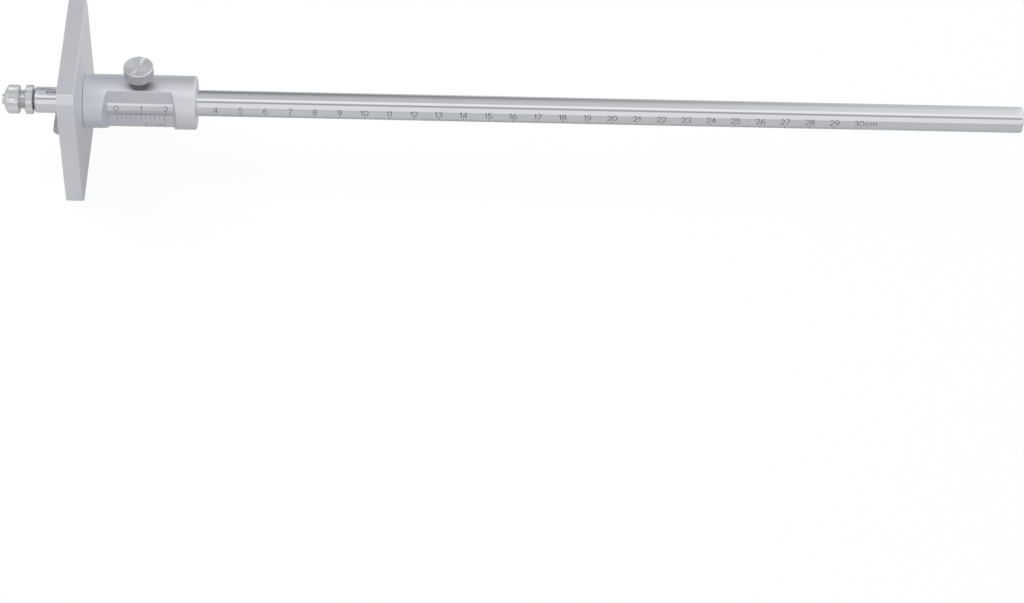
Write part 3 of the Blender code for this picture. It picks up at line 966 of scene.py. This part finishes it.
@dataclass
class Clamp:
    """What presses the scriber: the threaded spindle, its knob, the lock nut and the thrust pin."""

    axis: Vector
    facets: int = 96
    pitch: float = 0.00075
    thread_height: float = 0.00042
    thread_facets: int = 72
    flank: float = 0.40
    land: float = 0.55
    spare_turns: int = 3
    spigot: float = 0.0021
    spigot_edge: float = 0.0004
    spigot_play: float = 0.00003
    knurl_depth: float = 0.00017
    knurl_pitch: float = 0.00062
    knob_face: float = 0.0009
    knob_edge: float = 0.0005
    knob_edge_rise: float = 0.00012
    knob_cone: float = 0.0017
    knob_cone_end: float = 0.0032
    cone_swell: float = 0.00035
    cone_rim: float = 0.0002
    bore_edge: float = 0.0001
    nut_bore: float = 0.00395
    nut_break: float = 0.0003
    nut_edge: float = 0.0004
    nut_bevel: float = 0.0005
    nut_bevel_end: float = 0.0047
    nut_rim: float = 0.0001
    nut_rim_drop: float = 0.00005
    overlap: float = 0.0002
    pin_edge: float = 0.0003
    seat_play: float = 0.0002
    key_play: float = 0.0003
    key_width: float = 0.0030
    key_height: float = 0.004

    def _at(self, x: float) -> Vector:
        """Return the point at x on the axis."""
        return Vector((x, 0.0, self.axis.z))

    def spindle(self, finish: Finish) -> bpy.types.Object:
        """Cut the fine thread and add the spigot that is riveted over the knob."""
        low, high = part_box("clamp_spindle")
        crest = (high.y - low.y) / 2
        root = crest - self.thread_height
        length = high.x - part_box("clamp_knob")[1].x
        points = []
        for turn in range(ceil(length / self.pitch) + self.spare_turns):
            base = (turn - self.spare_turns / 2) * self.pitch
            for radius, share in ((root, 0.0), (crest, self.flank), (crest, self.land)):
                points.append((radius, 0.0, base + share * self.pitch))
        thread = Workpiece().chained(points)
        thread.spun(FULL_TURN, self.thread_facets, rise=self.pitch / self.thread_facets)
        bmesh.ops.remove_doubles(thread.mesh, verts=thread.mesh.verts, dist=HAIR)
        for height, way in ((0.0, -1.0), (length, 1.0)):
            thread.trimmed(Vector((0.0, 0.0, height)), Vector((0.0, 0.0, way)))
        thread.cleaned()
        start, end = length - self.overlap, high.x - low.x
        stub = Outline([(0.0, start), (self.spigot, start), (self.spigot, end), (0.0, end)])
        thread.joined("UNION", Workpiece.turned(stub.eased(self.spigot_edge), self.facets))
        thread.placed(self._at(high.x), Facing.LEFT)
        return thread.finished("spindle", Body.CLAMP, finish, "clamp_spindle")

    def _knurled_ring(self, points: list[Station], crest: float, low: float, high: float,
                      start: Vector, facing: Facing) -> Workpiece:
        """Turn a bored piece and press its straight knurl."""
        teeth = round(FULL_TURN * crest / self.knurl_pitch)
        ring = Workpiece.turned(Outline(points), teeth * POINTS_PER_TOOTH, bored=True)
        ring.knurled(crest, self.knurl_depth, low, high, teeth)
        return ring.placed(start, facing)

    def knob(self, finish: Finish) -> bpy.types.Object:
        """Turn the knob: a knurled grip that ends in a cone."""
        low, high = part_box("clamp_knob")
        crest = (high.y - low.y) / 2
        length = high.x - low.x
        grip = length - self.knob_cone
        bore = self.spigot + self.spigot_play
        points = [(bore, 0.0), (crest - self.knob_face, 0.0),
                  (crest - self.knob_edge, self.knob_edge_rise), (crest, self.knob_edge), (crest, grip)]
        for step in range(1, ROUND_STEPS + 1):
            share = step / ROUND_STEPS
            swell = self.cone_swell * sin(pi * share)
            radius = crest + (self.knob_cone_end - crest) * share + swell
            points.append((radius, grip + self.knob_cone * share))
        points += [(self.knob_cone_end - self.cone_rim, length), (bore + self.bore_edge, length),
                   (bore, length - self.bore_edge)]
        ring = self._knurled_ring(points, crest, self.knob_edge, grip, self._at(high.x), Facing.LEFT)
        return ring.finished("knob", Body.CLAMP, finish, "clamp_knob")

    def nut(self, finish: Finish) -> bpy.types.Object:
        """Turn the lock nut: knurled, bevelled on its outer side."""
        low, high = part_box("lock_nut")
        crest = (high.y - low.y) / 2
        length = high.x - low.x
        bore = self.nut_bore
        edge = self.nut_break
        bevel = length - self.nut_bevel
        points = [(bore, edge), (bore + edge, 0.0), (crest - self.nut_edge, 0.0), (crest, edge),
                  (crest, bevel), (self.nut_bevel_end, length - self.nut_rim_drop),
                  (self.nut_bevel_end - self.nut_rim, length), (bore + edge, length),
                  (bore, length - edge)]
        ring = self._knurled_ring(points, crest, edge, bevel, self._at(high.x), Facing.LEFT)
        return ring.finished("nut", Body.LOCK_NUT, finish, "lock_nut")

    def thrust_pin(self, finish: Finish) -> bpy.types.Object:
        """Turn the thrust pin, and mill its seat for the scriber and its keyway."""
        low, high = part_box("thrust_pin")
        scriber_low, scriber_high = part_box("scriber_pin")
        radius = (high.y - low.y) / 2
        length = high.x - low.x
        outline = Outline.bar(radius, length).eased(self.pin_edge)
        pin = Workpiece.turned(outline, self.facets).placed(self._at(low.x), Facing.RIGHT)
        seat = (scriber_high.x - scriber_low.x) / 2 + self.seat_play
        start = Vector((middle_x(scriber_low, scriber_high), radius * 2, self.axis.z))
        pin.without(plug(seat, radius * 4, start, Facing.FRONT))
        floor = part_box("set_screw")[0].z - self.key_play
        slot = Workpiece.block((length * 2, self.key_width, self.key_height))
        pin.without(slot.placed(Vector((low.x + length / 2, 0.0, floor + self.key_height / 2))))
        return pin.finished("thrust_pin_dressed", Body.THRUST, finish, "thrust_pin")


@dataclass
class Head:
    """The sliding head: the fence plate, the sleeve with its vernier window, and the vernier."""

    axis: Vector
    facets: int = 224
    bore_facets: int = 192
    smooth_up_to: float = radians(24.0)
    corner_cut: float = 0.00275
    edge: float = 0.00035
    edge_steps: int = 4
    spigot: float = 0.0080
    spigot_play: float = 0.00004
    rod_fit: float = 0.00535
    screw_fit: float = 0.00255
    end_round: float = 0.0009
    mouth: float = 0.0004
    shoulder_gap: float = 0.00006
    shoulder_edge: float = 0.00016
    window: float = 0.0260
    flat: float = 0.0043
    flare: float = radians(17.0)
    window_edge: float = 0.00018
    window_edge_steps: int = 2
    rim_reach: float = 0.00005
    lip: float = 0.00010
    lip_tool_width: float = 20.0
    lip_tool_height: float = 10.0
    lip_tool_out: float = 4.0
    stations: int = 24
    overrun: float = 0.002
    zero_from_face: float = 0.0200
    vernier_step: float = 0.0019
    vernier_marks: int = 11
    marks_to_long_one: int = 5
    mark_top: float = -0.0036
    short_mark: float = -0.0056
    long_mark: float = -0.0070
    mark_stroke: float = 0.00018
    text_height: float = 0.00185
    text_base: float = -0.0095
    text_left: float = 0.0110

    def __post_init__(self) -> None:
        """Read the head's places from the frame."""
        self.plate_low, self.plate_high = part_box("fence_plate")
        self.sleeve_low, self.sleeve_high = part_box("head_sleeve")
        self.middle = (self.plate_high.x + self.sleeve_high.x) / 2
        self.zero = self.plate_low.x + self.zero_from_face

    def plate(self, finish: Finish) -> bpy.types.Object:
        """Make the fence plate, its corners cut and its edges broken, and bore it for the spigot."""
        size = self.plate_high - self.plate_low
        plate = Workpiece.block(size)
        corners = [edge for edge in plate.mesh.edges
                   if abs(edge.verts[0].co.x - edge.verts[1].co.x) > HAIR]
        bmesh.ops.bevel(plate.mesh, geom=corners, offset=self.corner_cut, segments=1, profile=0.5,
                        affect="EDGES", material=-1)
        bmesh.ops.bevel(plate.mesh, geom=plate.mesh.edges[:], offset=self.edge, segments=self.edge_steps,
                        profile=0.5, affect="EDGES", material=-1)
        plate.placed((self.plate_low + self.plate_high) / 2)
        start = Vector((self.plate_low.x - self.overrun, 0.0, self.axis.z))
        bore = plug(self.spigot + self.spigot_play, size.x + 2 * self.overrun, start, Facing.RIGHT,
                    self.bore_facets)
        plate.without(bore)
        return plate.finished("plate", Body.HEAD, finish, "fence_plate")

    def sleeve(self, finish: Finish) -> bpy.types.Object:
        """Turn the sleeve, mill its window and drill it for the lock screw."""
        radius = (self.sleeve_high.z - self.sleeve_low.z) / 2
        length = self.sleeve_high.x - self.sleeve_low.x
        shoulder = self.plate_high.x + self.shoulder_gap - self.sleeve_low.x
        inner = self.rod_fit
        wall = length - shoulder
        points = [(inner, self.mouth), (inner + self.mouth, 0.0), (self.spigot, 0.0),
                  (self.spigot, shoulder), (radius - self.shoulder_edge, shoulder),
                  (radius, shoulder + self.shoulder_edge)]
        points += [(radius, shoulder + wall * step / self.stations)
                   for step in range(1, self.stations - 1)]
        points += rounded_end(radius, length, self.end_round)
        points += [(inner + self.mouth, length), (inner, length - self.mouth)]
        sleeve = Workpiece.turned(Outline(points), self.facets, bored=True)
        sleeve.placed(Vector((self.sleeve_low.x, 0.0, self.axis.z)), Facing.RIGHT)
        centre = Vector((self.middle, 0.0, self.axis.z))
        half = self.window / 2
        front = radius + self.overrun
        flare = (front - self.flat) * tan(self.flare)
        shape = [(-half, -self.flat), (-half - flare, -front), (half + flare, -front), (half, -self.flat)]
        sleeve.without(Workpiece.prism(shape, 2 * front).placed(centre))
        sleeve.without(plug(self.screw_fit, front, centre, Facing.UP))

        def on_window(edge: bmesh.types.BMEdge) -> bool:
            """Say whether an edge is part of the rim of one of the window's flared ends."""
            spot = (edge.verts[0].co + edge.verts[1].co) / 2
            inside = half + HAIR < abs(spot.x - self.middle) < half + flare
            outer = hypot(spot.y, spot.z - self.axis.z) > radius - self.rim_reach
            return inside and outer and spot.y < -self.flat + HAIR

        sleeve.broken(self.window_edge, self.window_edge_steps, on_window)
        for side in (1.0, -1.0):
            sleeve.without(self._lip_tool(radius, side))
        return sleeve.finished("sleeve", Body.HEAD, finish, "head_sleeve", smooth_up_to=self.smooth_up_to)

    def _lip_tool(self, radius: float, side: float) -> Workpiece:
        """Return the tool that chamfers the flat's upper long edge or, for a side of -1, its lower one."""
        half_turn = acos(self.flat / radius) / 2
        way = Vector((0.0, -cos(half_turn), side * sin(half_turn)))
        rise = side * sqrt(radius ** 2 - self.flat ** 2)
        corner = Vector((self.middle, -self.flat, self.axis.z + rise))
        size = (self.window, self.lip_tool_width * self.lip, self.lip_tool_height * self.lip)
        tool = Workpiece.block(size)
        turn = Matrix.Rotation(pi / 2 - side * half_turn, 4, "X")
        bmesh.ops.transform(tool.mesh, matrix=turn, verts=tool.mesh.verts)
        return tool.placed(corner + way * self.lip_tool_out * self.lip)

    def onto(self, spot: Vector) -> Vector:
        """Lay (along the vernier, up, out) on the window's flat."""
        return Vector((self.zero + spot.x, -self.flat - spot.z, self.axis.z + spot.y))

    def vernier(self, paint: Finish) -> None:
        """Cut the vernier's marks and its reading."""
        marks = Engraving(self.mark_stroke)
        for index in range(self.vernier_marks):
            low = self.short_mark if index % self.marks_to_long_one else self.long_mark
            marks.line((index * self.vernier_step, self.mark_top), (index * self.vernier_step, low))
        marks.wrapped("vernier_marks", self.onto, Body.HEAD, paint)
        words = Engraving(self.mark_stroke)
        words.text("0,1 mm", self.text_left, self.text_base, self.text_height)
        words.wrapped("vernier_reading", self.onto, Body.HEAD, paint)


@dataclass
class LockScrew:
    """The knurled screw on the sleeve, with its turned face, and the pad that it presses on the rod."""

    axis: Vector
    knurl_pitch: float = 0.00047
    knurl_depth: float = 0.00014
    head: float = 0.0052
    chamfer: float = 0.0005
    lower_chamfer: float = 0.0003
    edge: float = 0.00015
    rim_width: float = 0.0002
    face_inset: float = 0.0004
    dish: float = 0.0003
    dish_rim: float = 0.00008
    rings: int = 22
    ring_steps: int = 4
    ring_height: float = 0.000016
    collar: float = 0.0039
    collar_height: float = 0.0036
    shank: float = 0.0025
    dog: float = 0.0015
    dog_length: float = 0.0008
    pad_play: float = 0.0001
    pad_skirt: float = 0.0006
    facets: int = 96
    bore_facets: int = 192

    def screw(self, face_finish: Finish, shaded_neck_finish: Finish, shaded_grip_finish: Finish) -> bpy.types.Object:
        """Turn the screw, face its top with fine rings and press its knurl.

        Args:
            face_finish: The finish of the turned face.
            shaded_neck_finish: Painted shade for everything under the head: the same steel made near
                black.
            shaded_grip_finish: The knurled wall's finish: the face's steel painted darker, as shade.

        Returns:
            The screw.
        """
        low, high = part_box("lock_screw")
        crest = (high.x - low.x) / 2
        top = high.z
        under = top - self.head
        middle = Vector((middle_x(low, high), 0.0, 0.0))
        neck = under - self.collar_height
        step = low.z + self.dog_length
        rim = crest - self.chamfer
        stem = Outline([(0.0, low.z), (self.dog, low.z), (self.dog, step), (self.shank, step),
                        (self.shank, neck), (self.collar, neck), (self.collar, under),
                        (crest - self.lower_chamfer, under)])
        points = stem.eased(self.edge).points
        points += [(crest, under + self.lower_chamfer), (crest, top - self.chamfer), (rim, top),
                   (rim - self.rim_width, top)]
        face = rim - self.face_inset
        floor = top - self.dish
        waves = self.rings * self.ring_steps
        for wave in range(waves + 1):
            reach = face * (1 - wave / waves)
            rise = self.ring_height * sin(FULL_TURN * wave / self.ring_steps) if wave < waves else 0.0
            points.append((reach, floor + (self.dish - self.dish_rim) * (reach / face) ** 2 + rise))
        teeth = round(FULL_TURN * crest / self.knurl_pitch)
        piece = Workpiece.turned(Outline(points), teeth * POINTS_PER_TOOTH)
        piece.knurled(crest, self.knurl_depth, under + self.lower_chamfer, top - self.chamfer, teeth)
        piece.placed(middle)
        made = piece.finished("lock_screw_dressed", Body.LOCK_SCREW, face_finish, "lock_screw")
        # The neck and the knurled wall get painted-shade copies of the steel.
        for other in (shaded_neck_finish, shaded_grip_finish):
            made.data.materials.append(other.material())
        # Faces under the head take the painted shade; the knurled wall takes its darker, painted-shade
        # copy.
        for polygon in made.data.polygons:
            if polygon.center.z < under + HAIR:
                polygon.material_index = 1
            elif polygon.center.z < top - self.chamfer:
                polygon.material_index = 2
        return made

    def pad(self, finish: Finish) -> bpy.types.Object:
        """Turn the pad and hollow it to sit on the rod."""
        low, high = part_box("pressure_pad")
        radius = (high.x - low.x) / 2
        middle = Vector((middle_x(low, high), 0.0, 0.0))
        pocket = self.dog + self.pad_play
        bottom = low.z - self.pad_skirt
        floor = high.z - self.dog_length
        outline = Outline([(0.0, bottom), (radius, bottom), (radius, high.z), (pocket, high.z),
                           (pocket, floor), (0.0, floor)]).eased(self.edge)
        pad = Workpiece.turned(outline, self.facets).placed(middle)
        start = Vector((middle.x - 2 * radius, 0.0, self.axis.z))
        hollow = low.z - self.axis.z + self.pad_skirt
        pad.without(plug(hollow, 4 * radius, start, Facing.RIGHT, self.bore_facets))
        return pad.finished("pad", Body.PAD, finish, "pressure_pad")


@dataclass(frozen=True)
class Panel:
    """A curved panel of the light tent about the rod, which only reflections see."""

    name: str
    start: float
    end: float
    tones: tuple[tuple[float, float], ...]
    radius: float = 1.5
    left: float = -2.5
    right: float = 2.5
    fade_from: float = 9.0
    fade_to: float = 10.0
    left_fade: float = 0.0
    left_from: float = -0.1
    left_to: float = -0.3
    glow: float = 1.0
    steps: int = 48

    def build(self, centre: Vector) -> bpy.types.Object:
        """Bend the panel round the rod and light it by its height.

        Args:
            centre: A point on the rod's axis.

        Returns:
            The panel.
        """
        piece = Workpiece().chained([(x, -self.radius, 0.0) for x in (self.left, self.right)])
        turn = Matrix.Rotation(-radians(self.start), 4, "X")
        bmesh.ops.transform(piece.mesh, matrix=turn, verts=piece.mesh.verts)
        piece.spun(radians(self.end - self.start), self.steps, axis=(-1.0, 0.0, 0.0))
        made = piece.placed(Vector((0.0, 0.0, centre.z))).lone_object(self.name)
        made.data.materials.append(self._material(centre))
        for rays in Rays:
            setattr(made, rays.value, False)
        return made

    def _material(self, centre: Vector) -> bpy.types.Material:
        """Return the panel's glow, graded by the angle about the rod."""
        made = bpy.data.materials.new(self.name)
        graph = Graph(made)
        x, y, z = graph.parts_of(graph.place())
        angle = (z - centre.z).bearing(-y)
        share = (angle - radians(self.start)) / radians(self.end - self.start)
        ramp = graph.node("ShaderNodeValToRGB", {"stops": self.tones}, {"Fac": share})
        to_the_left = x.smooth(self.left_from, self.left_to) * self.left_fade
        paler = x.smooth(self.fade_from, self.fade_to) + to_the_left
        colour = graph.mixed(paler, ramp.outputs["Color"], grey(1.0))
        shader = graph.node("ShaderNodeEmission", {}, {"Color": colour, "Strength": self.glow})
        graph.surface(shader.outputs["Emission"])
        made.cycles.emission_sampling = "NONE"
        return made


PANELS = (
    Panel("back_wall", 85.0, 178.0, ((0.0, 0.62), (0.37, 0.60), (0.61, 0.40), (0.79, 0.27)),
          fade_from=0.0, fade_to=1.1, left_fade=0.25),
    Panel("seam", 43.0, 67.0, ((0.0, 0.86), (0.28, 0.42), (0.62, 0.42), (1.0, 1.0)), radius=1.6),
    Panel("front_card", 6.0, 43.0, ((0.0, 0.86), (1.0, 0.88))),
    Panel("overhead_left", 83.0, 97.0, ((0.0, 1.0), (1.0, 1.0)), radius=1.4, left=-0.66, right=-0.40,
          glow=4.4),
    Panel("table_edge", -2.0, 6.0, ((0.0, 0.60), (0.60, 0.60), (1.0, 0.86))),
)


@dataclass
class Studio:
    """A pale floor, a white tent with its panels, soft lamps and the camera."""

    floor_size: float = 12.0
    floor_squares: int = 8
    floor_grain: float = 1 / 60
    floor_tone: float = 0.50
    floor_mottle: float = 1.02
    floor_light: float = 1.08
    seen: float = 0.86
    mirrored: float = 0.20
    tent_light: float = 0.70
    camera_spot: tuple[float, float, float] = (0.15871, -0.95450, 0.98060)
    camera_turn: tuple[float, float, float] = (radians(41.7964), radians(-1.3625), radians(0.3163))
    lens: float = 116.76
    sensor: float = 36.0
    nearest: float = 0.01
    farthest: float = 100.0

    def floor(self) -> bpy.types.Object:
        """Lay the floor on z = 0, lifted towards white where the camera and reflections see it."""
        piece = Workpiece()
        bmesh.ops.create_grid(piece.mesh, x_segments=self.floor_squares, y_segments=self.floor_squares,
                              size=self.floor_size / 2)
        made = piece.lone_object("floor")
        material = bpy.data.materials.new("floor")
        graph = Graph(material)
        grain = graph.noise(graph.place(), [self.floor_grain] * 3, 3.0, 0.5)
        tone = graph.mixed(grain, grey(self.floor_tone), grey(self.floor_tone * self.floor_mottle))
        diffuse = graph.node("ShaderNodeBsdfDiffuse", {}, {"Color": tone})
        glow = graph.node("ShaderNodeEmission", {}, {"Color": grey(1.0), "Strength": self.floor_light})
        seen, bounced = graph.rays()
        share = seen * self.seen + bounced * self.mirrored
        graph.surface(graph.blended(share, diffuse.outputs["BSDF"], glow.outputs["Emission"]))
        material.cycles.emission_sampling = "NONE"
        made.data.materials.append(material)
        return made

    def tent(self) -> None:
        """Surround the rule with white, a little dimmer as a lamp than it looks."""
        world = bpy.data.worlds.new("tent")
        bpy.context.scene.world = world
        graph = Graph(world)
        seen, bounced = graph.rays()
        lamp, white = (graph.node("ShaderNodeBackground", {}, {"Color": grey(1.0), "Strength": strength})
                       for strength in (self.tent_light, 1.0))
        mix = graph.blended(seen.larger(bounced), lamp.outputs["Background"], white.outputs["Background"])
        graph.node("ShaderNodeOutputWorld", {}, {"Surface": mix})

    def lamp(self, name: str, spot: Sequence[float], target: Vector, size: float, watts: float) -> None:
        """Hang a square soft lamp that points at a target and that reflections don't see."""
        light = bpy.data.lights.new(name, "AREA")
        light.shape = "SQUARE"
        light.size = size
        light.energy = watts
        made = linked(name, light)
        made.location = spot
        made.rotation_euler = (target - Vector(spot)).to_track_quat("-Z", "Y").to_euler()
        made.visible_glossy = False

    def camera(self) -> None:
        """Set the camera where the photographer stood."""
        data = bpy.data.cameras.new("camera")
        data.lens = self.lens
        data.sensor_width = self.sensor
        data.clip_start = self.nearest
        data.clip_end = self.farthest
        made = linked("camera", data)
        made.location = self.camera_spot
        made.rotation_euler = self.camera_turn
        bpy.context.scene.camera = made

    def build(self, centre: Vector) -> None:
        """Set up the whole studio about a point on the rod's axis."""
        self.floor()
        self.tent()
        for panel in PANELS:
            panel.build(centre)
        self.lamp("key", (-0.9, 0.35, 1.25), centre, 0.8, 12.0)
        self.camera()
        bpy.context.scene.view_settings.view_transform = "Standard"


def main() -> None:
    """Build every sub-assembly in order, then the studio."""
    logging.basicConfig(level=logging.INFO, format="%(message)s")
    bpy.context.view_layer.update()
    beam = Beam()
    scriber_x = middle_x(*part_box("scriber_pin"))
    screw_x = middle_x(*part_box("set_screw"))
    axis = tuple(beam.axis)
    lock_axis = (middle_x(*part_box("lock_screw")), 0.0, 0.0)

    chrome = PolishedChrome("polished_chrome_rod", 0.82, -0.028, 0.055, Slot.POLISHED)
    satin = SatinChrome("satin_chrome_head", 0.85, -0.036, 0.46, Slot.SATIN)
    turned = TurnedMetal("turned_clamp", 0.80, -0.016, 0.24, Slot.TURNED, axis=axis)
    lathe_top = TurnedMetal("turned_lock_screw", 0.84, -0.030, 0.27, Slot.TURNED, axis=lock_axis, along=2,
                            brushed=0.95)
    steel = GroundSteel("ground_scriber", 0.56, 0.015, 0.28, Slot.HARDENED)
    # Painted shade: the steel under the lock screw's head, made near black where the head shades it.
    neck_painted_shade = TurnedMetal("oiled_neck", 0.20, -0.030, 0.34, Slot.TURNED, axis=lock_axis, along=2)
    # Painted shade: the knurled wall is the face's steel, made darker to stand in for its shading.
    grip_painted_shade = TurnedMetal("knurled_lock_screw", 0.64, -0.030, 0.30, Slot.TURNED, axis=lock_axis,
                            along=2)
    # Painted light: the blackened set screw is made light grey, so that the shaded pocket it sits in reads
    # lighter.
    pocket_painted_light = TurnedMetal("worn_set_screw", 0.80, -0.016, 0.40, Slot.BLACKENED, axis=lock_axis, along=2)
    brass = Brass("machined_brass", 0.70, 0.0, 0.28, Slot.BRASS, axis=axis)
    paint = EngraverPaint("engraver_paint", 0.025, 0.0, 0.45, Slot.BLACKENED)

    beam.rod(chrome, scriber_x, screw_x)
    beam.scale(paint)
    beam.set_screw(pocket_painted_light)
    Scriber().pin(steel)
    clamp = Clamp(beam.axis)
    clamp.spindle(turned)
    clamp.knob(turned)
    clamp.nut(turned)
    clamp.thrust_pin(brass)
    head = Head(beam.axis)
    head.plate(satin)
    head.sleeve(satin)
    head.vernier(paint)
    lock = LockScrew(beam.axis)
    lock.screw(lathe_top, neck_painted_shade, grip_painted_shade)
    lock.pad(brass)
    Studio().build(beam.axis)


if __name__ == "__main__":
    main()
